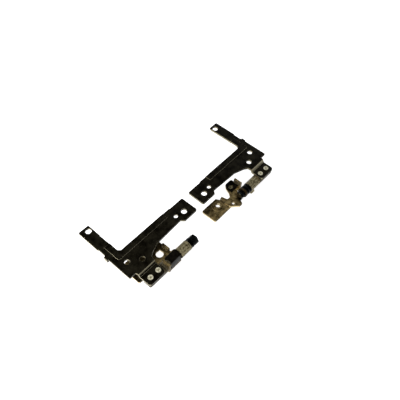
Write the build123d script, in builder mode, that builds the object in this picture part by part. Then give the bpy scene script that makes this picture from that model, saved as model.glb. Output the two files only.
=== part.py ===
"""Laptop hinge pair: a left and a right friction hinge, lying closed in a row.

The hinge axis runs along X, the long and short arms lie on the +Y side of it and
+Z is up. The origin is the middle of the pair's box, on the plane it rests on.
Plan positions are given by two distances: out, along X from the middle of the
pair, and ahead, along +Y from the hinge axis.
"""
import os

from build123d import *

LEFT = -1
RIGHT = 1

# Clearances
running_fit = 0.05          # radial, a turning shaft in a fixed bore
slip_fit = 0.02             # radial, a piece fastened on a shaft or a shank
face_gap = 0.1              # between flat faces that turn past each other

# Heights
sheet = 1.0                 # all four brackets are stamped from this sheet
axis_height = 4.2           # hinge axis above the plane the pair rests on
tail_thickness = 2.4        # flat tail of the shaft, centred on the axis
joggle = 1.6                # the rivet tab lies this far below the lid plate
neck_lift = 0.8             # right base bracket: neck above the tongue

# Lid bracket, distances out
end_gap = 4.4               # between the ends of the two long arms
pad_end_out = 10.6          # end pad of the long arm
pad_step = 0.3              # end pads step in or out by this much
pad_slope = 1.4             # slanted end of the pad's outer edge
corner_out = 42.4           # inner corner of the L
short_arm_width = 5.8
outer_relief = 0.4          # shallow recess in the outer edge
cutout_length = 6.3         # slow part of the cutout beside the tab
cutout_inset = 1.2          # its steep part lies this far inside the tab
cutout_bend = 0.8           # half length of the steep part of the cutout
cutout_rise = 0.2
cutout_drop = 1.0
tab_inset = 3.8             # the rivet tab starts this far inside the outer edge
tab_width = 9.6
tab_notch = 0.4             # between the tab's outer side and the outer corner

# Lid bracket, distances ahead
arm_tip = 38.9              # tip of the short arm
arm_pad_start = 31.1
inner_edge = 18.3           # inner edge of the long arm
pad_outer_edge = 8.2        # outer edge of the end pad
long_arm_outer_edge = 9.9
cutout_start = 9.3
cutout_corner = 7.3
corner_edge = 5.6           # edge of the outer corner, beside the tab
joggle_start = 4.1
tab_corner = 1.6            # radius of the tab's free corners
tab_reach = 2.8             # the tab passes the axis by this much
relief_start = 21.5
relief_length = 4.4
inner_corner_radius = 1.5
pad_corner_radius = 0.9
outer_corner_radius = 0.5
arm_corner_radius = 0.6

# Lid bracket, holes
lid_screw_radius = 1.4
end_hole_out = 7.2
end_hole_ahead = 12.1
arm_hole_inset = 2.0        # from the short arm's inner edge
arm_hole_ahead = 36.4
access_radius = 1.3
corner_access_inset = 1.2   # likewise
corner_access_ahead = 12.2
middle_access_shift = 4.4   # from the short arm's inner edge towards the middle
middle_access_ahead = 8.4
pin_radius = 1.0
pin_out = 11.8
pin_ahead = 13.0

# Lid bracket, coined rib along the inner edges and lug on the outer edge
rib_rise = 0.3
rib_width = 3.1
rib_corner_radius = 1.2
rib_end_out = 15.3
rib_arm_length = 6.3
lug_ahead = 20.2
lug_width = 2.2
lug_drop = 1.3
lug_stand_out = 0.6

# Shaft
journal_radius = 1.3
thread_radius = 1.15
barrel_radius = 2.6         # collars, torque sleeves and ears are this round
tail_margin = 0.4           # the tail stops this far inside the tab's outer side
thread_stick_out = 0.5

# Rivets through tab and tail, ground flush with the tail's underside
rivet_head_radius = 1.25
rivet_head_height = 0.5
rivet_shank_radius = 0.8
rivet_pitch = 4.7

# Pieces threaded on the shaft
sleeve_slit = 0.5           # slit in the curled torque sleeve, at its underside
spring_radius = 2.5
spring_sheet = 0.5
spring_cone = 0.38
spring_gap = 0.02
spring_pitch = spring_sheet + spring_cone + spring_gap
nut_face_radius = 2.3
nut_face_length = 0.5
nut_edge = 0.3

# Left stack, lengths from the collar towards the middle of the pair
left_collar_gap = 0.6       # between the rivet tab and the collar
left_collar_length = 1.2
left_washer_length = 0.7
spacer_length = 0.9
spacer_radius = 1.9
block_length = 6.2
block_near = 1.75           # the block's flat sides, below and above the axis in plan
block_far = 2.5
block_rise = 1.8            # flat top of the cam block above the axis
block_edge = 0.2
left_sleeve_length = 6.2
left_spring_count = 2
left_nut_length = 3.2
left_nut_flats = 4.5

# Right stack, likewise
right_collar_gap = 0.2
right_collar_length = 0.8
right_washer_length = 0.5
right_sleeve_length = 6.2
right_spring_count = 4
right_nut_length = 1.8
right_nut_flats = 3.6
stop_lug_reach = 3.6
stop_lug_width = 2.0
stop_lug_length = 2.4
stop_lug_corner = 0.4
stop_lug_angle = 56         # degrees below the level, on the side of -Y

# Left base bracket
base_reach = 15.8
base_near = 3.9             # edge beside the swing of the rivet tab
base_margin = 1.8           # from the screw thread to the outer edge
base_inner_corner = 0.5
base_near_corner = 1.0
base_far_corner = 1.5
left_ear_near = 2.1         # the ear's near side, from the axis
left_ear_corner = 0.6
foot_length = 1.9
foot_start = 2.3
foot_end = 4.7
foot_corner = 0.8
flange_height = 3.0
flange_start = 5.3
flange_end = 9.6
slot_radius = 1.8
slot_inset = 4.5            # round hole, from the inner edge
slot_ahead = 7.5
slot_corner = 1.7           # square corner of the round hole, towards its inner far side
base_thread_radius = 1.25   # core of the screw threads in both base brackets
base_thread_shift = 0.4     # the thread lies this far inside the access hole above it
base_thread_ahead = 12.5

# Right base bracket, tongue with a clinched thread boss and a half-pierced pip
tongue_length = 11.5
tongue_near = 0.1
tongue_far = 8.8
tongue_corner = 0.9
tongue_bevel = 1.0
step_length = 0.9
boss_inset = 3.5            # from the step at the tongue's end
boss_ahead = 5.2
boss_ring_radius = 3.3
boss_ring_width = 0.6
boss_ring_rise = 0.25
boss_core_radius = 2.2
boss_core_rise = 0.7
pip_inset = 8.8
pip_ahead = 2.6
pip_radius = 0.9
pip_rise = 0.2
pip_recess_radius = 1.45
pip_recess_depth = 0.3

# Right base bracket, raised neck, lobe under the stop plate, and bump
neck_length = 2.3           # from the step to the round notch
neck_corner_inset = 0.6     # the neck's far corner, from the notch
neck_corner_ahead = 7.2
notch_width = 2.1
notch_depth_ahead = 4.0
notch_radius = 0.9
lobe_start_shift = 1.5      # from the notch to the lobe's slanted side
lobe_start_ahead = 6.0
lobe_side_shift = 1.2
lobe_width = 6.3
lobe_bevel = 1.5
lobe_far = 10.5
lobe_near = 5.2
lobe_corner = 0.8
neck_hole_radius = 0.7
neck_hole_shift = 0.2       # from the notch's start
neck_hole_ahead = 0.4
bump_shift = 1.1            # from the notch's start
bump_width = 2.0
bump_reach = 3.1
bump_root_shift = 1.0       # from the bump to its root
bump_root_ahead = -1.2
bump_corner = 0.5
ear_foot_near = 0.8         # the ear's foot ends this far on the near side of the axis
hook_shift = 3.6            # from the ear to the hook's outer face
hook_near = 3.8
hook_far = 8.3
hook_height = 5.0
stop_plate_sheet = 0.6
stop_plate_inset = 0.1
stop_plate_corner = 0.6
stop_rivet_inset = 1.7      # from the lobe's side
stop_rivet_ahead = 7.3
stop_rivet_radius = 1.1
stop_rivet_shank = 0.7
stop_rivet_height = 0.4

# Places that follow from the sizes above
axis_y = (bump_reach - arm_tip) / 2
outer_edge_out = corner_out + short_arm_width
tab_out = outer_edge_out - tab_inset - tab_width
cutout_corner_out = tab_out - cutout_inset
cutout_start_out = cutout_corner_out - cutout_length
arm_hole_out = corner_out + arm_hole_inset
corner_access_out = corner_out + corner_access_inset
middle_access_out = corner_out - middle_access_shift
tab_bottom = axis_height + tail_thickness / 2
lid_bottom = tab_bottom + joggle
lid_top = lid_bottom + sheet
rivet_middle_out = tab_out + tab_width / 2 - tail_margin
neck_top = neck_lift + sheet

left_collar_out = tab_out - left_collar_gap - left_collar_length
left_washer_out = left_collar_out - left_washer_length
left_ear_out = left_washer_out - face_gap - sheet
spacer_out = left_ear_out - spacer_length
block_out = spacer_out - block_length
left_sleeve_out = block_out - left_sleeve_length
left_spring_out = left_sleeve_out - face_gap - left_spring_count * spring_pitch
left_nut_out = left_spring_out - left_nut_length

right_collar_out = tab_out - right_collar_gap - right_collar_length
right_washer_out = right_collar_out - right_washer_length
right_sleeve_out = right_washer_out - face_gap - right_sleeve_length
right_spring_out = right_sleeve_out - right_spring_count * spring_pitch
right_ear_out = right_spring_out - sheet
right_nut_out = right_ear_out - face_gap - right_nut_length

hook_out = right_ear_out + sheet + hook_shift
lobe_side_out = hook_out - lobe_width
lobe_start_out = lobe_side_out - lobe_side_shift
notch_end_out = lobe_start_out - lobe_start_shift
notch_out = notch_end_out - notch_width
neck_corner_out = notch_out - neck_corner_inset
neck_hole_out = notch_out + neck_hole_shift
bump_out = notch_out + bump_shift
bump_root_out = bump_out + bump_width + bump_root_shift
stop_rivet_out = lobe_side_out + stop_rivet_inset
tongue_end_out = notch_out - neck_length
tongue_start_out = tongue_end_out - tongue_length
boss_out = tongue_end_out - boss_inset
pip_out = tongue_end_out - pip_inset

base_thread_out = corner_access_out - base_thread_shift
base_out = base_thread_out + base_margin
base_inner_out = block_out
foot_out = base_inner_out - foot_length
slot_out = base_inner_out + slot_inset


def spot(side, out, ahead):
    """Plan position of a point given by its distances out and ahead."""
    return (side * out, axis_y + ahead)


def outline(side, *corners):
    """Closed polyline through corners given as (out, ahead)."""
    return Polyline(*[spot(side, out, ahead) for out, ahead in corners], close=True)


def station(side, out):
    """Plane across the hinge axis that faces outwards, with its local y up."""
    return Plane(
        origin=(side * out, axis_y, axis_height), x_dir=(0, side, 0), z_dir=(side, 0, 0)
    )


def lengthwise(side, out):
    """Upright plane through the hinge axis: local x runs outwards, local y up."""
    return Plane(
        origin=(side * out, axis_y, axis_height), x_dir=(side, 0, 0), z_dir=(0, -side, 0)
    )


def hinge_axis():
    """The hinge axis as a line to revolve about."""
    return Axis((0, axis_y, axis_height), (1, 0, 0))


def round_corner(sketch, place, radius):
    """Round the sketch corner that lies at a plan position."""
    nearest = sketch.vertices().sort_by_distance(Vector(*place, 0))[0]
    fillet(nearest, radius)


def lid_outline(side):
    """Outline of the flat part of the lid bracket, apart from its tab."""
    end_out = end_gap / 2
    tab_end = tab_out + tab_width
    recess = outer_edge_out - outer_relief
    outline(
        side,
        (corner_out, inner_edge),
        (pad_end_out + pad_step, inner_edge),
        (pad_end_out, inner_edge - pad_step),
        (end_out, inner_edge - pad_step),
        (end_out, pad_outer_edge),
        (pad_end_out, pad_outer_edge),
        (pad_end_out + pad_slope, long_arm_outer_edge),
        (cutout_start_out, cutout_start),
        (cutout_corner_out - cutout_bend, cutout_corner + cutout_rise),
        (cutout_corner_out + cutout_bend, cutout_corner - cutout_drop),
        (tab_out, joggle_start),
        (tab_end, joggle_start),
        (tab_end + tab_notch, corner_edge),
        (outer_edge_out, corner_edge),
        (outer_edge_out, relief_start),
        (recess, relief_start + pad_step),
        (recess, relief_start + relief_length),
        (outer_edge_out, relief_start + relief_length + pad_step),
        (outer_edge_out, arm_tip),
        (corner_out, arm_tip),
        (corner_out, arm_pad_start),
        (corner_out + pad_step / 2, arm_pad_start - pad_step),
    )


def rib_outline(side, inset):
    """L-shaped strip along the inner edges, with its far sides moved in by an inset."""
    near = inner_edge - rib_width + inset
    arm_side = corner_out + rib_width - inset
    arm_end = inner_edge + rib_arm_length - inset
    outline(
        side,
        (corner_out, inner_edge),
        (rib_end_out + inset, inner_edge),
        (rib_end_out + inset, near),
        (arm_side, near),
        (arm_side, arm_end),
        (corner_out, arm_end),
    )


def tab_section(side):
    """Section of the joggled tab, seen along the axis, in station coordinates."""
    top = lid_top - axis_height
    low = tab_bottom - axis_height
    run = joggle / 2
    slant = (run**2 + joggle**2) ** 0.5
    shift = sheet * (slant - run) / joggle
    corners = (
        (joggle_start + shift + sheet, top),
        (joggle_start, top),
        (joggle_start - run, top - joggle),
        (-tab_reach, top - joggle),
        (-tab_reach, low),
        (joggle_start - run + shift, low),
        (joggle_start + shift, low + joggle),
        (joggle_start + shift + sheet, low + joggle),
    )
    Polyline(*[(side * ahead, height) for ahead, height in corners], close=True)


def rivet_spots(side):
    """Plan positions of the two tail rivets, both over the axis."""
    half = rivet_pitch / 2
    return [spot(side, rivet_middle_out + shift, 0) for shift in (-half, half)]


def make_lid_bracket(side):
    """L-shaped stamping whose joggled tab is riveted to the shaft's flat tail."""
    inner_corner = spot(side, corner_out, inner_edge)
    with BuildPart() as lid:
        with BuildSketch(Plane.XY.offset(lid_bottom)) as flat:
            with BuildLine():
                lid_outline(side)
            make_face()
            round_corner(flat, inner_corner, inner_corner_radius)
            round_corner(flat, spot(side, end_gap / 2, inner_edge), pad_corner_radius)
            round_corner(flat, spot(side, end_gap / 2, pad_outer_edge), pad_corner_radius)
            round_corner(flat, spot(side, outer_edge_out, corner_edge), outer_corner_radius)
            round_corner(flat, spot(side, outer_edge_out, arm_tip), arm_corner_radius)
            round_corner(flat, spot(side, corner_out, arm_tip), arm_corner_radius)
        extrude(amount=sheet)
        with BuildSketch(station(side, tab_out)):
            with BuildLine():
                tab_section(side)
            make_face()
        extrude(amount=tab_width)
        fillet(lid.edges().filter_by(Axis.Z).group_by(Axis.Y)[0], tab_corner)
        with Locations((*spot(side, outer_edge_out, lug_ahead), lid_top)):
            Box(
                2 * lug_stand_out,
                lug_width,
                sheet + lug_drop,
                align=(Align.CENTER, Align.CENTER, Align.MAX),
            )
        # The rib is pressed up, which leaves a shallow recess in the underside
        with BuildSketch(Plane.XY.offset(lid_top)) as rib:
            with BuildLine():
                rib_outline(side, 0)
            make_face()
            round_corner(rib, inner_corner, inner_corner_radius)
            rib_corner = spot(side, corner_out + rib_width, inner_edge - rib_width)
            round_corner(rib, rib_corner, rib_corner_radius)
        extrude(amount=rib_rise)
        with BuildSketch(Plane.XY.offset(lid_bottom)):
            with BuildLine():
                rib_outline(side, sheet / 2)
            make_face()
        extrude(amount=rib_rise, mode=Mode.SUBTRACT)
        with BuildSketch(Plane.XY.offset(lid_bottom)):
            with Locations(
                spot(side, end_hole_out, end_hole_ahead), spot(side, arm_hole_out, arm_hole_ahead)
            ):
                Circle(lid_screw_radius)
            with Locations(
                spot(side, corner_access_out, corner_access_ahead),
                spot(side, middle_access_out, middle_access_ahead),
            ):
                Circle(access_radius)
            with Locations(spot(side, pin_out, pin_ahead)):
                Circle(pin_radius)
        extrude(amount=sheet, mode=Mode.SUBTRACT)
        with BuildSketch(Plane.XY.offset(tab_bottom)):
            with Locations(*rivet_spots(side)):
                Circle(rivet_shank_radius + slip_fit)
        extrude(amount=sheet, mode=Mode.SUBTRACT)
    return lid.part


def make_shaft(side, collar_out, collar_length, nut_out, nut_length):
    """Turned shaft: flat tail under the tab, collar, journal and threaded end."""
    tail_start = collar_out + collar_length
    tail_end = tab_out + tab_width - tail_margin
    thread_start = nut_out + nut_length
    thread_end = nut_out - thread_stick_out
    with BuildPart() as shaft:
        with BuildSketch(Plane.XY.offset(tab_bottom - tail_thickness)) as tail:
            with BuildLine():
                outline(
                    side,
                    (tail_start, -barrel_radius),
                    (tail_end, -barrel_radius),
                    (tail_end, barrel_radius),
                    (tail_start, barrel_radius),
                )
            make_face()
            round_corner(tail, spot(side, tail_end, -barrel_radius), tab_corner - tail_margin)
            round_corner(tail, spot(side, tail_end, barrel_radius), tab_corner - tail_margin)
        extrude(amount=tail_thickness)
        with BuildSketch(station(side, tail_start)):
            Circle(barrel_radius)
        extrude(amount=tail_end - tail_start, mode=Mode.INTERSECT)
        with BuildSketch(station(side, collar_out)):
            Circle(barrel_radius)
        extrude(amount=collar_length)
        with BuildSketch(station(side, thread_start)):
            Circle(journal_radius)
        extrude(amount=collar_out - thread_start)
        with BuildSketch(station(side, thread_end)):
            Circle(thread_radius)
        extrude(amount=thread_start - thread_end)
        with BuildSketch(Plane.XY.offset(tab_bottom - tail_thickness)):
            with Locations(*rivet_spots(side)):
                Circle(rivet_shank_radius + slip_fit)
        extrude(amount=tail_thickness, mode=Mode.SUBTRACT)
    return shaft.part


def make_tail_rivets(side):
    """Two rivets through the tab and the tail, with flat round heads on the tab."""
    with BuildPart() as rivets:
        with BuildSketch(Plane.XY.offset(tab_bottom - tail_thickness)):
            with Locations(*rivet_spots(side)):
                Circle(rivet_shank_radius)
        extrude(amount=tail_thickness + sheet)
        with BuildSketch(Plane.XY.offset(tab_bottom + sheet)):
            with Locations(*rivet_spots(side)):
                Circle(rivet_head_radius)
        extrude(amount=rivet_head_height)
    return rivets.part


def make_ring(side, out, length, radius):
    """Plain turned ring on the shaft, clear of it by the slip fit."""
    with BuildPart() as ring:
        with BuildSketch(station(side, out)):
            Circle(radius)
            Circle(journal_radius + slip_fit, mode=Mode.SUBTRACT)
        extrude(amount=length)
    return ring.part


def make_disc_springs(side, out, count, bore):
    """Stack of coned disc springs that lean against each other in turn."""
    with BuildPart() as stack:
        for number in range(count):
            start = number * spring_pitch
            inner, outer = (0, spring_cone) if number % 2 else (spring_cone, 0)
            with BuildSketch(lengthwise(side, out)):
                with BuildLine():
                    Polyline(
                        (start + inner, bore),
                        (start + inner + spring_sheet, bore),
                        (start + outer + spring_sheet, spring_radius),
                        (start + outer, spring_radius),
                        close=True,
                    )
                make_face()
            revolve(axis=hinge_axis())
    return stack.part


def make_nut(side, out, length, flats):
    """Hexagon nut with a round face towards the stack that it loads."""
    with BuildPart() as nut:
        with BuildSketch(station(side, out)):
            RegularPolygon(flats / 2, 6, major_radius=False)
        extrude(amount=length - nut_face_length)
        free_end = nut.faces().filter_by(Axis.X).sort_by(Axis.X)[::side][0]
        chamfer(free_end.edges(), nut_edge)
        with BuildSketch(station(side, out + length - nut_face_length)):
            Circle(min(nut_face_radius, flats / 2))
        extrude(amount=nut_face_length)
        with BuildSketch(station(side, out)):
            Circle(thread_radius + slip_fit)
        extrude(amount=length, mode=Mode.SUBTRACT)
    return nut.part


# Moving half of each hinge
left_lid_bracket = make_lid_bracket(LEFT)
right_lid_bracket = make_lid_bracket(RIGHT)
left_shaft = make_shaft(
    LEFT, left_collar_out, left_collar_length, left_nut_out, left_nut_length
)
right_shaft = make_shaft(
    RIGHT, right_collar_out, right_collar_length, right_nut_out, right_nut_length
)
left_tail_rivets = make_tail_rivets(LEFT)
right_tail_rivets = make_tail_rivets(RIGHT)
left_friction_washer = make_ring(LEFT, left_washer_out, left_washer_length, barrel_radius)
right_friction_washer = make_ring(RIGHT, right_washer_out, right_washer_length, barrel_radius)
left_disc_springs = make_disc_springs(
    LEFT, left_spring_out, left_spring_count, journal_radius + slip_fit
)
left_nut = make_nut(LEFT, left_nut_out, left_nut_length, left_nut_flats)
right_nut = make_nut(RIGHT, right_nut_out, right_nut_length, right_nut_flats)

# Fixed half of the left hinge
with BuildPart() as left_base_bracket:
    with BuildSketch() as left_floor:
        with BuildLine():
            ear_end = left_ear_out + sheet
            outline(
                LEFT,
                (base_out, base_reach),
                (base_inner_out, base_reach),
                (base_inner_out, foot_end),
                (foot_out, foot_end),
                (foot_out, foot_start),
                (base_inner_out, foot_start),
                (base_inner_out, -block_near),
                (ear_end, -block_near),
                (ear_end, base_near),
                (base_out, base_near),
            )
        make_face()
        round_corner(left_floor, spot(LEFT, foot_out, foot_end), foot_corner)
        round_corner(left_floor, spot(LEFT, base_inner_out, foot_end), base_inner_corner)
        round_corner(left_floor, spot(LEFT, ear_end, base_near), base_inner_corner)
        round_corner(left_floor, spot(LEFT, base_out, base_near), base_near_corner)
        round_corner(left_floor, spot(LEFT, base_out, base_reach), base_far_corner)
        with Locations(spot(LEFT, slot_out, slot_ahead)):
            Circle(slot_radius, mode=Mode.SUBTRACT)
            Rectangle(
                slot_corner, slot_corner, align=(Align.MIN, Align.MIN), mode=Mode.SUBTRACT
            )
        with Locations(spot(LEFT, base_thread_out, base_thread_ahead)):
            Circle(base_thread_radius, mode=Mode.SUBTRACT)
    extrude(amount=sheet)
    with BuildSketch(station(LEFT, left_ear_out)) as left_ear:
        with Locations((LEFT * -left_ear_near, -axis_height)):
            Rectangle(
                left_ear_near + barrel_radius,
                axis_height + block_rise,
                align=(Align.MAX, Align.MIN),
            )
        fillet(left_ear.vertices().group_by(Axis.Z)[-1], left_ear_corner)
        Circle(journal_radius + running_fit, mode=Mode.SUBTRACT)
    extrude(amount=sheet)
    with BuildSketch() as flange:
        with BuildLine():
            outline(
                LEFT,
                (base_inner_out, flange_start),
                (base_inner_out + sheet, flange_start),
                (base_inner_out + sheet, flange_end),
                (base_inner_out, flange_end),
            )
        make_face()
    extrude(amount=flange_height)

left_spacer_washer = make_ring(LEFT, spacer_out, spacer_length, spacer_radius)

with BuildPart() as left_cam_block:
    with BuildSketch(station(LEFT, block_out)):
        with Locations((LEFT * -block_near, sheet - axis_height)):
            Rectangle(
                block_near + block_far,
                block_rise + axis_height - sheet,
                align=(Align.MAX, Align.MIN),
            )
    extrude(amount=block_length)
    chamfer(left_cam_block.edges().filter_by(Axis.X), block_edge)
    with BuildSketch(station(LEFT, block_out)):
        Circle(journal_radius + running_fit)
    extrude(amount=block_length, mode=Mode.SUBTRACT)

with BuildPart() as left_torque_sleeve:
    with BuildSketch(station(LEFT, left_sleeve_out)):
        Circle(barrel_radius)
        Circle(journal_radius + running_fit, mode=Mode.SUBTRACT)
        with Locations((0, -barrel_radius)):
            Rectangle(sleeve_slit, 2 * journal_radius, mode=Mode.SUBTRACT)
    extrude(amount=left_sleeve_length)

# Fixed half of the right hinge
with BuildPart() as right_base_bracket:
    with BuildSketch() as tongue:
        with BuildLine():
            step_end = tongue_end_out + step_length
            outline(
                RIGHT,
                (tongue_start_out, tongue_near),
                (step_end, tongue_near),
                (step_end, tongue_far - 2 * tongue_bevel),
                (tongue_end_out, tongue_far - 2 * tongue_bevel),
                (tongue_end_out - tongue_bevel, tongue_far),
                (tongue_start_out, tongue_far),
            )
        make_face()
        round_corner(tongue, spot(RIGHT, tongue_start_out, tongue_near), tongue_corner)
        round_corner(tongue, spot(RIGHT, tongue_start_out, tongue_far), tongue_corner)
    extrude(amount=sheet)
    with BuildSketch(Plane.XY.offset(sheet)):
        with Locations(spot(RIGHT, boss_out, boss_ahead)):
            Circle(boss_ring_radius)
            Circle(boss_ring_radius - boss_ring_width, mode=Mode.SUBTRACT)
    extrude(amount=boss_ring_rise)
    with BuildSketch(Plane.XY.offset(sheet)):
        with Locations(spot(RIGHT, boss_out, boss_ahead)):
            Circle(boss_core_radius)
    extrude(amount=boss_core_rise)
    with BuildSketch():
        with Locations(spot(RIGHT, boss_out, boss_ahead)):
            Circle(base_thread_radius)
    extrude(amount=sheet + boss_core_rise, mode=Mode.SUBTRACT)
    with BuildSketch(Plane.XY.offset(sheet - pip_recess_depth)):
        with Locations(spot(RIGHT, pip_out, pip_ahead)):
            Circle(pip_recess_radius)
            Circle(pip_radius, mode=Mode.SUBTRACT)
    extrude(amount=pip_recess_depth, mode=Mode.SUBTRACT)
    with BuildSketch(Plane.XY.offset(sheet)):
        with Locations(spot(RIGHT, pip_out, pip_ahead)):
            Circle(pip_radius)
    extrude(amount=pip_rise)
    with BuildSketch(Plane.XY.offset(neck_lift)) as neck:
        with BuildLine():
            ear_end = right_ear_out + sheet
            outline(
                RIGHT,
                (tongue_end_out, tongue_near),
                (tongue_end_out, tongue_far - 2 * tongue_bevel),
                (neck_corner_out, neck_corner_ahead),
                (notch_out, notch_depth_ahead),
                (notch_end_out, notch_depth_ahead),
                (lobe_start_out, lobe_start_ahead),
                (lobe_side_out, lobe_far - lobe_bevel),
                (lobe_side_out + lobe_bevel, lobe_far),
                (hook_out, lobe_far),
                (hook_out, hook_near),
                (hook_out - sheet, hook_near),
                (ear_end, hook_near),
                (ear_end, -ear_foot_near),
                (bump_root_out, bump_root_ahead),
                (bump_out + bump_width, -bump_reach),
                (bump_out, -bump_reach),
            )
        make_face()
        round_corner(neck, spot(RIGHT, notch_out, notch_depth_ahead), notch_radius)
        round_corner(neck, spot(RIGHT, notch_end_out, notch_depth_ahead), notch_radius)
        round_corner(neck, spot(RIGHT, bump_out + bump_width, -bump_reach), bump_corner)
        round_corner(neck, spot(RIGHT, bump_out, -bump_reach), bump_corner)
        round_corner(neck, spot(RIGHT, hook_out, lobe_far), lobe_corner)
        with Locations(spot(RIGHT, neck_hole_out, neck_hole_ahead)):
            Circle(neck_hole_radius, mode=Mode.SUBTRACT)
        with Locations(spot(RIGHT, stop_rivet_out, stop_rivet_ahead)):
            Circle(stop_rivet_shank + slip_fit, mode=Mode.SUBTRACT)
    extrude(amount=sheet)
    with BuildSketch(station(RIGHT, right_ear_out)):
        Circle(barrel_radius)
        with Locations((-ear_foot_near, neck_lift - axis_height)):
            Rectangle(
                ear_foot_near + barrel_radius,
                axis_height - neck_lift,
                align=(Align.MIN, Align.MIN),
            )
        Circle(journal_radius + running_fit, mode=Mode.SUBTRACT)
    extrude(amount=sheet)
    with BuildSketch(Plane.XY.offset(neck_lift)):
        with BuildLine():
            outline(
                RIGHT,
                (hook_out - sheet, hook_near),
                (hook_out, hook_near),
                (hook_out, hook_far),
                (hook_out - sheet, hook_far),
            )
        make_face()
    extrude(amount=hook_height - neck_lift)

with BuildPart() as right_torque_sleeve:
    with BuildSketch(station(RIGHT, right_sleeve_out)):
        Circle(barrel_radius)
    extrude(amount=right_sleeve_length)
    with BuildSketch(station(RIGHT, right_sleeve_out)):
        with Locations(Rotation(0, 0, 180 + stop_lug_angle)):
            with Locations((stop_lug_reach / 2, 0)):
                Rectangle(stop_lug_reach, stop_lug_width)
    extrude(amount=stop_lug_length)
    fillet(right_torque_sleeve.edges().filter_by(Axis.X).group_by(Axis.Z)[0], stop_lug_corner)
    with BuildSketch(station(RIGHT, right_sleeve_out)):
        Circle(journal_radius + running_fit)
    extrude(amount=right_sleeve_length, mode=Mode.SUBTRACT)

right_disc_springs = make_disc_springs(
    RIGHT, right_spring_out, right_spring_count, journal_radius + running_fit
)

with BuildPart() as right_stop_plate:
    with BuildSketch(Plane.XY.offset(neck_top)) as plate:
        with BuildLine():
            plate_side = lobe_side_out + stop_plate_inset
            plate_end = hook_out - sheet - face_gap
            outline(
                RIGHT,
                (plate_side, lobe_near),
                (plate_side, lobe_far - lobe_bevel),
                (plate_side + lobe_bevel, lobe_far - stop_plate_inset),
                (plate_end, lobe_far - stop_plate_inset),
                (plate_end, lobe_near),
            )
        make_face()
        with Locations(spot(RIGHT, stop_rivet_out, stop_rivet_ahead)):
            Circle(stop_rivet_shank + slip_fit, mode=Mode.SUBTRACT)
    extrude(amount=stop_plate_sheet)
    fillet(right_stop_plate.edges().filter_by(Axis.Z).group_by(Axis.Y)[0], stop_plate_corner)

with BuildPart() as right_stop_rivet:
    with BuildSketch(Plane.XY.offset(neck_lift)):
        with Locations(spot(RIGHT, stop_rivet_out, stop_rivet_ahead)):
            Circle(stop_rivet_shank)
    extrude(amount=sheet + stop_plate_sheet)
    with BuildSketch(Plane.XY.offset(neck_top + stop_plate_sheet)):
        with Locations(spot(RIGHT, stop_rivet_out, stop_rivet_ahead)):
            Circle(stop_rivet_radius)
    extrude(amount=stop_rivet_height)

pieces = {
    "left_lid_bracket": left_lid_bracket,
    "right_lid_bracket": right_lid_bracket,
    "left_shaft": left_shaft,
    "right_shaft": right_shaft,
    "left_tail_rivets": left_tail_rivets,
    "right_tail_rivets": right_tail_rivets,
    "left_friction_washer": left_friction_washer,
    "right_friction_washer": right_friction_washer,
    "left_disc_springs": left_disc_springs,
    "right_disc_springs": right_disc_springs,
    "left_nut": left_nut,
    "right_nut": right_nut,
    "left_spacer_washer": left_spacer_washer,
    "left_base_bracket": left_base_bracket.part,
    "right_base_bracket": right_base_bracket.part,
    "left_cam_block": left_cam_block.part,
    "left_torque_sleeve": left_torque_sleeve.part,
    "right_torque_sleeve": right_torque_sleeve.part,
    "right_stop_plate": right_stop_plate.part,
    "right_stop_rivet": right_stop_rivet.part,
}

os.makedirs("parts", exist_ok=True)
for name, piece in pieces.items():
    piece.label = name
    export_step(piece, f"parts/{name}.step")
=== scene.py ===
"""Looks of the laptop hinge pair.

Blackened lid brackets are riveted to friction shafts, which turn in yellow zinc base brackets.
"""
import math

import bpy
from mathutils import Matrix, Vector


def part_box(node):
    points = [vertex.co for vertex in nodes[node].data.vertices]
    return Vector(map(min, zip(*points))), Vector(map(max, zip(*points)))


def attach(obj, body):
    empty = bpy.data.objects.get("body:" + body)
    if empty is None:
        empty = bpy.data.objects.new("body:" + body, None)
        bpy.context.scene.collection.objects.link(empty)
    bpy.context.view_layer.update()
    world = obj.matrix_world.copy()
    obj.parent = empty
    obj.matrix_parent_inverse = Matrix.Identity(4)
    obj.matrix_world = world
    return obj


MM = 0.001

# Camera, found from the screw holes and corners of both lid brackets
CAMERA_PLACE = Vector((-97.9, -87.2, 182.9)) * MM
CAMERA_TARGET = Vector((5.1, -5.2, 4.0)) * MM
CAMERA_ROLL = math.radians(3.35)
CAMERA_LENS = 40.9
SENSOR = 36.0

CREASE_ANGLE = 20.0         # edges that turn more than this stay sharp, in degrees
EDGE_BREAK = 0.045          # width of the rounding that tumbling leaves on every edge

# Screw threads: each place is the low end of the thread's axis
BASE_THREADS = ((-43.2, -5.4, 0.16), (10.1, -12.7, 0.16))
BASE_THREAD_RADIUS = 1.25
BASE_THREAD_PITCH = 0.5
BASE_THREAD_TURNS = (1.4, 2.8)
STUB_THREADS = {"left_lid": (-12.76, -17.9, 4.2), "right_lid": (20.04, -17.9, 4.2)}
STUB_RADIUS = 1.15
STUB_PITCH = 0.25
STUB_TURNS = 1.6
THREAD_DEPTH = 0.13
RIVET_HEAD_RADIUS = 1.25

RIGHT_JOURNAL = (22.6, -17.9, 4.2)
JOURNAL_SHADE_REACH = 4.6          # how far the painted shade round the right journal reaches

# Clean-up of the solids' triangles before their edges are broken
WELD_REACH = 0.0005         # triangle corners nearer than this are one point
FLAT_ANGLE = 1.0            # faces that turn less than this are one face, in degrees
CORNER_ANGLE = 35.0         # edges that turn more than this are broken, in degrees
EDGE_STEPS = 2

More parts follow.
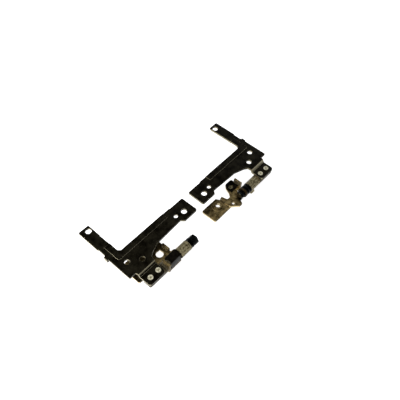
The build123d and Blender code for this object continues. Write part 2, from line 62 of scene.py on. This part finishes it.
# Studio
FLOOR_HALF = 3.0            # metres from the middle of the table to its edge
FLOOR_TONE = 0.8
FLOOR_GLOW = 0.93           # what the white table adds for the camera and reflections
SKY_LIGHT = 0.3             # strength of the surroundings as a light
SKY_WHITE = 1.0             # their strength for the camera and reflections
LAMPS = (                   # name, place in mm, width in metres, watts
    ("key", (-280, 90, 120), 0.2, 2.0),
    ("top", (40, 160, 380), 0.30, 0.15),
)
CAMERA_NEAR = 0.005         # nearest distance that the camera sees, in metres


def hex_colour(text):
    """sRGB hex value turned to linear RGBA."""
    channels = [int(text[i : i + 2], 16) / 255 for i in (1, 3, 5)]
    linear = [c / 12.92 if c <= 0.04045 else ((c + 0.055) / 1.055) ** 2.4 for c in channels]
    return (*linear, 1.0)


def node(tree, kind, links=None, inputs=None, **settings):
    """Add a node with its settings, its constant inputs and its incoming links."""
    added = tree.nodes.new(kind)
    for name, value in settings.items():
        setattr(added, name, value)
    for socket, value in (inputs or {}).items():
        added.inputs[socket].default_value = value
    for socket, source in (links or {}).items():
        tree.links.new(source, added.inputs[socket])
    return added


def new_material(name):
    """Empty node material with its output, and the object coordinates to draw on."""
    material = bpy.data.materials.new(name)
    material.use_nodes = True
    tree = material.node_tree
    tree.nodes.clear()
    output = node(tree, "ShaderNodeOutputMaterial")
    place = node(tree, "ShaderNodeTexCoord")
    return material, tree, output, place


def per_mm(feature):
    """Noise scale that gives features of about this many millimetres."""
    return 1.0 / (feature * MM)


def blackened_steel_sheet():
    """Stamped steel under a black phosphate coat: near black with an olive cast.

    The eye sees soft smoky mottling a few millimetres wide, scattered pale specks where handling
    has rubbed the coat, and sheared edges that show browner metal. Edges facing -X and the sloping
    faces of bends and broken edges are made pale in the colour: painted highlight.
    """
    material, tree, output, place = new_material("blackened_steel_sheet")
    smoke = node(
        tree,
        "ShaderNodeTexNoise",
        links={"Vector": place.outputs["Object"]},
        inputs={"Scale": per_mm(3.5), "Detail": 4.0, "Roughness": 0.6},
    )
    clouds = node(
        tree,
        "ShaderNodeMapRange",
        links={"Value": smoke.outputs["Fac"]},
        inputs={"From Min": 0.38, "From Max": 0.66},
    )
    coat = node(
        tree,
        "ShaderNodeMix",
        links={0: clouds.outputs["Result"]},
        inputs={6: hex_colour("#050402"), 7: hex_colour("#191710")},
        data_type="RGBA",
    )
    # Phosphate grain is some 0.01 mm, drawn at 0.3 mm so that it shows
    grain = node(
        tree,
        "ShaderNodeTexNoise",
        links={"Vector": place.outputs["Object"]},
        inputs={"Scale": per_mm(0.3), "Detail": 3.0, "Roughness": 0.6},
    )
    rubbed = node(
        tree,
        "ShaderNodeMapRange",
        links={"Value": grain.outputs["Fac"]},
        inputs={"From Min": 0.64, "From Max": 0.74, "To Max": 0.5},
    )
    specked = node(
        tree,
        "ShaderNodeMix",
        links={0: rubbed.outputs["Result"], 6: coat.outputs[2]},
        inputs={7: hex_colour("#5c5746")},
        data_type="RGBA",
    )
    axes = node(tree, "ShaderNodeSeparateXYZ", links={0: place.outputs["Normal"]})
    steep = node(tree, "ShaderNodeMath", links={0: axes.outputs["Z"]}, operation="ABSOLUTE")
    sheared = node(
        tree,
        "ShaderNodeMapRange",
        links={"Value": steep.outputs["Value"]},
        inputs={"From Min": 0.35, "From Max": 0.15},
    )
    # Edges facing -X get a pale painted highlight, for the lamp on that side; the other edges stay dark
    painted_light_minus_x = node(
        tree,
        "ShaderNodeMapRange",
        links={"Value": axes.outputs["X"]},
        inputs={"From Min": -0.45, "From Max": -0.75},
    )
    streaks = node(
        tree,
        "ShaderNodeMapRange",
        links={"Value": grain.outputs["Fac"]},
        inputs={"From Min": 0.35, "From Max": 0.6},
    )
    bright = node(
        tree,
        "ShaderNodeMix",
        links={0: streaks.outputs["Result"]},
        inputs={6: hex_colour("#4a442f"), 7: hex_colour("#a39c82")},
        data_type="RGBA",
    )
    edges_with_painted_light = node(
        tree,
        "ShaderNodeMix",
        links={0: painted_light_minus_x.outputs["Result"], 7: bright.outputs[2]},
        inputs={6: hex_colour("#1c1a13")},
        data_type="RGBA",
    )
    edged = node(
        tree,
        "ShaderNodeMix",
        links={0: sheared.outputs["Result"], 6: specked.outputs[2], 7: edges_with_painted_light.outputs[2]},
        data_type="RGBA",
    )
    # Sloping faces of the broken edges and of the bends are painted pale: painted highlight
    above = node(
        tree,
        "ShaderNodeMapRange",
        links={"Value": axes.outputs["Z"]},
        inputs={"From Min": 0.5, "From Max": 0.6},
    )
    below = node(
        tree,
        "ShaderNodeMapRange",
        links={"Value": axes.outputs["Z"]},
        inputs={"From Min": 0.98, "From Max": 0.9},
    )
    painted_slope_highlight = node(
        tree,
        "ShaderNodeMath",
        links={0: above.outputs["Result"], 1: below.outputs["Result"]},
        operation="MULTIPLY",
    )
    colour = node(
        tree,
        "ShaderNodeMix",
        links={0: painted_slope_highlight.outputs["Value"], 6: edged.outputs[2]},
        inputs={7: hex_colour("#a39c84")},
        data_type="RGBA",
    )
    gloss = node(
        tree,
        "ShaderNodeMapRange",
        links={"Value": smoke.outputs["Fac"]},
        inputs={"From Min": 0.3, "From Max": 0.7, "To Min": 0.36, "To Max": 0.52},
    )
    relief = node(
        tree,
        "ShaderNodeBump",
        links={"Height": grain.outputs["Fac"]},
        inputs={"Strength": 0.3, "Distance": 0.01 * MM},
    )
    shader = node(
        tree,
        "ShaderNodeBsdfPrincipled",
        links={
            "Base Color": colour.outputs[2],
            "Roughness": gloss.outputs["Result"],
            "Normal": relief.outputs["Normal"],
        },
        inputs={"Metallic": 1.0},
    )
    tree.links.new(shader.outputs["BSDF"], output.inputs["Surface"])
    return material


def plated_steel(name, dark, pale, blotch, grain_size, roughness, relief_depth):
    """Plated or oxidised steel: blotches between two tones, and a fine grain in the gloss."""
    material, tree, output, place = new_material(name)
    patches = node(
        tree,
        "ShaderNodeTexNoise",
        links={"Vector": place.outputs["Object"]},
        inputs={"Scale": per_mm(blotch), "Detail": 4.0, "Roughness": 0.62},
    )
    spread = node(
        tree,
        "ShaderNodeMapRange",
        links={"Value": patches.outputs["Fac"]},
        inputs={"From Min": 0.36, "From Max": 0.64},
    )
    colour = node(
        tree,
        "ShaderNodeMix",
        links={0: spread.outputs["Result"]},
        inputs={6: hex_colour(dark), 7: hex_colour(pale)},
        data_type="RGBA",
    )
    grain = node(
        tree,
        "ShaderNodeTexNoise",
        links={"Vector": place.outputs["Object"]},
        inputs={"Scale": per_mm(grain_size), "Detail": 4.0, "Roughness": 0.6},
    )
    gloss = node(
        tree,
        "ShaderNodeMapRange",
        links={"Value": grain.outputs["Fac"]},
        inputs={
            "From Min": 0.3,
            "From Max": 0.7,
            "To Min": roughness - 0.08,
            "To Max": roughness + 0.08,
        },
    )
    relief = node(
        tree,
        "ShaderNodeBump",
        links={"Height": grain.outputs["Fac"]},
        inputs={"Strength": 0.4, "Distance": relief_depth * MM},
    )
    shader = node(
        tree,
        "ShaderNodeBsdfPrincipled",
        links={
            "Base Color": colour.outputs[2],
            "Roughness": gloss.outputs["Result"],
            "Normal": relief.outputs["Normal"],
        },
        inputs={"Metallic": 1.0},
    )
    tree.links.new(shader.outputs["BSDF"], output.inputs["Surface"])
    return material, tree, shader, colour, place


def yellow_passivated_zinc():
    """Zinc plate passivated yellow: a dull bronze with greener and browner clouds.

    Edges towards -X get a cream painted highlight, and painted shade browns the sheet round the
    right journal, where the nut shades the ear.
    """
    material, tree, shader, colour, place = plated_steel(
        "yellow_passivated_zinc", "#2f2612", "#6f6141", 1.6, 0.25, 0.34, 0.02
    )
    axes = node(tree, "ShaderNodeSeparateXYZ", links={0: place.outputs["Normal"]})
    # Faces towards -X are painted cream: painted highlight for the lamp on that side
    painted_light_minus_x = node(
        tree,
        "ShaderNodeMapRange",
        links={"Value": axes.outputs["X"]},
        inputs={"From Min": -0.35, "From Max": -0.6, "To Max": 0.9},
    )
    edged = node(
        tree,
        "ShaderNodeMix",
        links={0: painted_light_minus_x.outputs["Result"], 6: colour.outputs[2]},
        inputs={7: hex_colour("#cdbd97")},
        data_type="RGBA",
    )
    # The sheet round the right journal is darkened: painted shade of the nut in front of the ear
    reach = node(
        tree,
        "ShaderNodeVectorMath",
        links={0: place.outputs["Object"]},
        inputs={1: Vector(RIGHT_JOURNAL) * MM},
        operation="DISTANCE",
    )
    painted_journal_shade = node(
        tree,
        "ShaderNodeMapRange",
        links={"Value": reach.outputs["Value"]},
        inputs={
            "From Min": JOURNAL_SHADE_REACH * MM,
            "From Max": 0.7 * JOURNAL_SHADE_REACH * MM,
            "To Max": 0.95,
        },
    )
    journal_shaded = node(
        tree,
        "ShaderNodeMix",
        links={0: painted_journal_shade.outputs["Result"], 6: edged.outputs[2]},
        inputs={7: hex_colour("#251b0c")},
        data_type="RGBA",
    )
    tree.links.new(journal_shaded.outputs[2], shader.inputs["Base Color"])
    return material


def nickel_plate():
    """Dull nickel plate on turned sleeves: a warm silver, mottled where the plate is thin."""
    return plated_steel("dull_nickel_plate", "#28230f", "#837b61", 0.7, 0.2, 0.34, 0.03)[0]


def oiled_black_oxide():
    """Black oxide under oil: near black with a cold, wet gloss."""
    return plated_steel("oiled_black_oxide", "#020303", "#080a0a", 1.2, 0.2, 0.3, 0.005)[0]


def black_sintered_steel_and_shade():
    """Pressed and sintered steel, blackened: flat black with fine pores. On the stop plate the black is
    painted shade, the lid bracket's shadow on the base bracket.
    """
    return plated_steel("black_sintered_steel_and_shade", "#060504", "#13100c", 0.8, 0.15, 0.5, 0.03)[0]


def turned_steel():
    """Turned steel of the shafts and washers: dark brown-grey, satin."""
    return plated_steel("dark_turned_steel", "#2a251a", "#4c4636", 0.9, 0.2, 0.36, 0.02)[0]


def dull_bronze():
    """Friction washers of bronze: brown with worn yellow patches."""
    return plated_steel("dull_bronze", "#33291a", "#6b5c3c", 0.8, 0.2, 0.36, 0.02)[0]


def headed_nickel(places):
    """Bright nickel on rivet heads: cream, with a darker middle that is painted shade in the dent the
    heading tool leaves.
    """
    material, tree, shader, colour, place = plated_steel(
        "headed_bright_nickel", "#6f6b56", "#cbc7b0", 0.5, 0.2, 0.36, 0.03
    )
    near = None
    for spot in places:
        reach = node(
            tree,
            "ShaderNodeVectorMath",
            links={0: place.outputs["Object"]},
            inputs={1: spot},
            operation="DISTANCE",
        ).outputs["Value"]
        if near is None:
            near = reach
        else:
            near = node(
                tree, "ShaderNodeMath", links={0: near, 1: reach}, operation="MINIMUM"
            ).outputs["Value"]
    # The middle of each head is darkened: painted shade in the heading dent
    dent = node(
        tree,
        "ShaderNodeMapRange",
        links={"Value": near},
        inputs={
            "From Min": 0.42 * RIVET_HEAD_RADIUS * MM,
            "From Max": 0.25 * RIVET_HEAD_RADIUS * MM,
            "To Max": 0.8,
        },
    )
    headed = node(
        tree,
        "ShaderNodeMix",
        links={0: dent.outputs["Result"], 6: colour.outputs[2]},
        inputs={7: hex_colour("#55513f")},
        data_type="RGBA",
    )
    tree.links.new(headed.outputs[2], shader.inputs["Base Color"])
    return material


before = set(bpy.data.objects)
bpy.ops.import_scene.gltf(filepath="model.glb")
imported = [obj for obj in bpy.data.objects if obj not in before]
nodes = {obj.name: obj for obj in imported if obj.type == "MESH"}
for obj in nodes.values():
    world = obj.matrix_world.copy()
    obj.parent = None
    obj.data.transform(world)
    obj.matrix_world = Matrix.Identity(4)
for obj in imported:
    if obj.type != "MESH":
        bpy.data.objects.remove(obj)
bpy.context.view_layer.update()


def rivet_tops():
    """Middle of each tail rivet's head, from the nodes' own boxes."""
    tops = []
    for name in ("left_tail_rivets", "right_tail_rivets"):
        low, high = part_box(name)
        middle = (low.y + high.y) / 2
        for x in (low.x + RIVET_HEAD_RADIUS * MM, high.x - RIVET_HEAD_RADIUS * MM):
            tops.append(Vector((x, middle, high.z)))
    return tops


yellow_zinc = yellow_passivated_zinc()
black_oxide = oiled_black_oxide()
sintered_black_and_shade = black_sintered_steel_and_shade()
dark_steel = turned_steel()
nickel = nickel_plate()
finishes = {
    "lid_bracket": blackened_steel_sheet(),
    "shaft": dark_steel,
    "tail_rivets": headed_nickel(rivet_tops()),
    "friction_washer": dull_bronze(),
    "disc_springs": black_oxide,
    "nut": black_oxide,
    "spacer_washer": dark_steel,
    "cam_block": sintered_black_and_shade,
    "torque_sleeve": nickel,
    "base_bracket": yellow_zinc,
    # The stop plate is a black sheet where the base bracket lies in the lid bracket's shadow: painted
    # shade
    "stop_plate": sintered_black_and_shade,
    "stop_rivet": nickel,
}


def dress(piece, material):
    """Give a piece one material on all its faces."""
    piece.data.materials.clear()
    piece.data.materials.append(material)


def make_crease_tree():
    """Geometry tree that shades a mesh smooth, apart from edges sharper than an angle."""
    tree = bpy.data.node_groups.new("crease_by_angle", "GeometryNodeTree")
    tree.interface.new_socket("Mesh", in_out="INPUT", socket_type="NodeSocketGeometry")
    angle = tree.interface.new_socket("Angle", in_out="INPUT", socket_type="NodeSocketFloat")
    angle.default_value = math.radians(CREASE_ANGLE)
    tree.interface.new_socket("Mesh", in_out="OUTPUT", socket_type="NodeSocketGeometry")
    given = node(tree, "NodeGroupInput")
    result = node(tree, "NodeGroupOutput")
    turn = node(tree, "GeometryNodeInputMeshEdgeAngle")
    sharp = node(
        tree,
        "FunctionNodeCompare",
        links={"A": turn.outputs["Unsigned Angle"], "B": given.outputs["Angle"]},
        operation="GREATER_THAN",
    )
    plain = node(
        tree,
        "GeometryNodeRemoveAttribute",
        links={0: given.outputs["Mesh"]},
        inputs={"Name": "custom_normal"},
    )
    smooth = node(
        tree, "GeometryNodeSetShadeSmooth", links={0: plain.outputs[0]}, domain="FACE"
    )
    smooth.inputs["Shade Smooth"].default_value = True
    creased = node(
        tree,
        "GeometryNodeSetShadeSmooth",
        links={0: smooth.outputs[0], "Selection": sharp.outputs["Result"]},
        domain="EDGE",
    )
    creased.inputs["Shade Smooth"].default_value = False
    tree.links.new(creased.outputs[0], result.inputs["Mesh"])
    return tree


def soften(piece):
    """Break the sharp edges of a piece, as tumbling and plating do."""
    weld = piece.modifiers.new("weld", "WELD")
    weld.merge_threshold = WELD_REACH * MM
    flat = piece.modifiers.new("flat", "DECIMATE")
    flat.decimate_type = "DISSOLVE"
    flat.angle_limit = math.radians(FLAT_ANGLE)
    edge = piece.modifiers.new("edge", "BEVEL")
    edge.width = EDGE_BREAK * MM
    edge.segments = EDGE_STEPS
    edge.limit_method = "ANGLE"
    edge.angle_limit = math.radians(CORNER_ANGLE)
    edge.use_clamp_overlap = False
    creases = piece.modifiers.new("creases", "NODES")
    creases.node_group = crease_tree


crease_tree = make_crease_tree()
for name, piece in nodes.items():
    kind = name.split("_", 1)[1]
    dress(piece, finishes[kind])
    soften(piece)


def make_thread_tree():
    """Geometry tree that sets one helical thread on each point that it gets."""
    tree = bpy.data.node_groups.new("thread_turns", "GeometryNodeTree")
    tree.interface.new_socket("Starts", in_out="INPUT", socket_type="NodeSocketGeometry")
    for name in ("Radius", "Pitch", "Turns", "Depth"):
        tree.interface.new_socket(name, in_out="INPUT", socket_type="NodeSocketFloat")
    tree.interface.new_socket("Turn", in_out="INPUT", socket_type="NodeSocketRotation")
    tree.interface.new_socket("Finish", in_out="INPUT", socket_type="NodeSocketMaterial")
    tree.interface.new_socket("Threads", in_out="OUTPUT", socket_type="NodeSocketGeometry")
    given = node(tree, "NodeGroupInput")
    result = node(tree, "NodeGroupOutput")
    rise = node(
        tree,
        "ShaderNodeMath",
        links={0: given.outputs["Pitch"], 1: given.outputs["Turns"]},
        operation="MULTIPLY",
    )
    helix = node(
        tree,
        "GeometryNodeCurveSpiral",
        links={
            "Rotations": given.outputs["Turns"],
            "Start Radius": given.outputs["Radius"],
            "End Radius": given.outputs["Radius"],
            "Height": rise.outputs["Value"],
        },
        inputs={"Resolution": 32},
    )
    crest = node(
        tree,
        "GeometryNodeCurvePrimitiveCircle",
        links={"Radius": given.outputs["Depth"]},
        inputs={"Resolution": 6},
    )
    ridge = node(
        tree,
        "GeometryNodeCurveToMesh",
        links={"Curve": helix.outputs[0], "Profile Curve": crest.outputs[0]},
        inputs={"Fill Caps": True},
    )
    points = node(tree, "GeometryNodeMeshToPoints", links={0: given.outputs["Starts"]})
    placed = node(
        tree,
        "GeometryNodeInstanceOnPoints",
        links={
            "Points": points.outputs[0],
            "Instance": ridge.outputs[0],
            "Rotation": given.outputs["Turn"],
        },
    )
    real = node(tree, "GeometryNodeRealizeInstances", links={0: placed.outputs[0]})
    finished = node(
        tree,
        "GeometryNodeSetMaterial",
        links={0: real.outputs[0], "Material": given.outputs["Finish"]},
    )
    tree.links.new(finished.outputs[0], result.inputs["Threads"])
    return tree


def add_threads(name, starts, sizes, turn, material, body):
    """Helical threads from the given starts, as one plain mesh that rides on a body."""
    seeds = bpy.data.meshes.new(name + "_starts")
    seeds.from_pydata([Vector(start) * MM for start in starts], [], [])
    maker = bpy.data.objects.new(name + "_maker", seeds)
    bpy.context.scene.collection.objects.link(maker)
    turns = maker.modifiers.new("threads", "NODES")
    turns.node_group = thread_tree
    values = dict(sizes, Turn=turn, Finish=material)
    for item in thread_tree.interface.items_tree:
        if item.in_out == "INPUT" and item.name in values:
            turns[item.identifier] = values[item.name]
    evaluated = maker.evaluated_get(bpy.context.evaluated_depsgraph_get())
    mesh = bpy.data.meshes.new_from_object(evaluated)
    bpy.data.objects.remove(maker)
    piece = bpy.data.objects.new(name, mesh)
    bpy.context.scene.collection.objects.link(piece)
    dress(piece, material)
    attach(piece, body)


thread_tree = make_thread_tree()
upright = (0.0, 0.0, 0.0)
along_axis = (0.0, math.radians(90), 0.0)
for side, start, turns in zip(("left", "right"), BASE_THREADS, BASE_THREAD_TURNS):
    add_threads(
        side + "_base_screw_thread",
        [start],
        {
            "Radius": BASE_THREAD_RADIUS * MM,
            "Pitch": BASE_THREAD_PITCH * MM,
            "Turns": turns,
            "Depth": THREAD_DEPTH * MM,
        },
        upright,
        yellow_zinc,
        "base",
    )
for body, start in STUB_THREADS.items():
    add_threads(
        body.split("_")[0] + "_shaft_thread",
        [start],
        {
            "Radius": STUB_RADIUS * MM,
            "Pitch": STUB_PITCH * MM,
            "Turns": STUB_TURNS,
            "Depth": 0.4 * THREAD_DEPTH * MM,
        },
        along_axis,
        dark_steel,
        body,
    )


def make_floor():
    """Plain white table that shows white to the camera and keeps a faint shadow."""
    mesh = bpy.data.meshes.new("table")
    far = FLOOR_HALF
    corners = [(-far, -far, 0), (far, -far, 0), (far, far, 0), (-far, far, 0)]
    mesh.from_pydata(corners, [], [(0, 1, 2, 3)])
    table = bpy.data.objects.new("table", mesh)
    bpy.context.scene.collection.objects.link(table)
    material, tree, output, _ = new_material("white_table")
    matte = node(tree, "ShaderNodeBsdfDiffuse", inputs={"Color": (FLOOR_TONE, FLOOR_TONE, FLOOR_TONE, 1)})
    glow = node(
        tree, "ShaderNodeEmission", inputs={"Color": (1, 1, 1, 1), "Strength": FLOOR_GLOW}
    )
    both = node(tree, "ShaderNodeAddShader", links={0: matte.outputs[0], 1: glow.outputs[0]})
    path = node(tree, "ShaderNodeLightPath")
    mirrored = node(
        tree,
        "ShaderNodeMath",
        links={0: path.outputs["Is Glossy Ray"], 1: path.outputs["Is Transmission Ray"]},
        operation="MAXIMUM",
    )
    seen = node(
        tree,
        "ShaderNodeMath",
        links={0: path.outputs["Is Camera Ray"], 1: mirrored.outputs["Value"]},
        operation="MAXIMUM",
    )
    blend = node(
        tree,
        "ShaderNodeMixShader",
        links={0: seen.outputs["Value"], 1: matte.outputs[0], 2: both.outputs[0]},
    )
    tree.links.new(blend.outputs[0], output.inputs["Surface"])
    mesh.materials.append(material)


def make_world():
    """Even white surroundings for the camera and reflections, dimmer as a light."""
    world = bpy.data.worlds.new("studio")
    bpy.context.scene.world = world
    world.use_nodes = True
    tree = world.node_tree
    tree.nodes.clear()
    output = node(tree, "ShaderNodeOutputWorld")
    path = node(tree, "ShaderNodeLightPath")
    mirrored = node(
        tree,
        "ShaderNodeMath",
        links={0: path.outputs["Is Glossy Ray"], 1: path.outputs["Is Transmission Ray"]},
        operation="MAXIMUM",
    )
    seen = node(
        tree,
        "ShaderNodeMath",
        links={0: path.outputs["Is Camera Ray"], 1: mirrored.outputs["Value"]},
        operation="MAXIMUM",
    )
    level = node(
        tree,
        "ShaderNodeMapRange",
        links={"Value": seen.outputs["Value"]},
        inputs={"To Min": SKY_LIGHT, "To Max": SKY_WHITE},
    )
    back = node(
        tree,
        "ShaderNodeBackground",
        links={"Strength": level.outputs["Result"]},
        inputs={"Color": (1, 1, 1, 1)},
    )
    tree.links.new(back.outputs[0], output.inputs["Surface"])


def add_lamp(name, place, size, power):
    """Square soft lamp that shines at the middle of the pair."""
    lamp = bpy.data.lights.new(name, "AREA")
    lamp.size = size
    lamp.energy = power
    holder = bpy.data.objects.new(name, lamp)
    spot = Vector(place) * MM
    holder.location = spot
    holder.rotation_euler = (-spot).to_track_quat("-Z", "Y").to_euler()
    bpy.context.scene.collection.objects.link(holder)


def make_camera():
    """Camera at the photograph's viewing angle."""
    camera = bpy.data.cameras.new("camera")
    camera.lens = CAMERA_LENS
    camera.sensor_width = SENSOR
    camera.sensor_fit = "HORIZONTAL"
    camera.clip_start = CAMERA_NEAR
    holder = bpy.data.objects.new("camera", camera)
    look = (CAMERA_TARGET - CAMERA_PLACE).to_track_quat("-Z", "Y").to_matrix().to_4x4()
    roll = Matrix.Rotation(CAMERA_ROLL, 4, "Z")
    holder.matrix_world = Matrix.Translation(CAMERA_PLACE) @ look @ roll
    bpy.context.scene.collection.objects.link(holder)
    bpy.context.scene.camera = holder


make_floor()
make_world()
for lamp_name, place, width, watts in LAMPS:
    add_lamp(lamp_name, place, width, watts)
make_camera()
bpy.context.scene.view_settings.view_transform = "Standard"
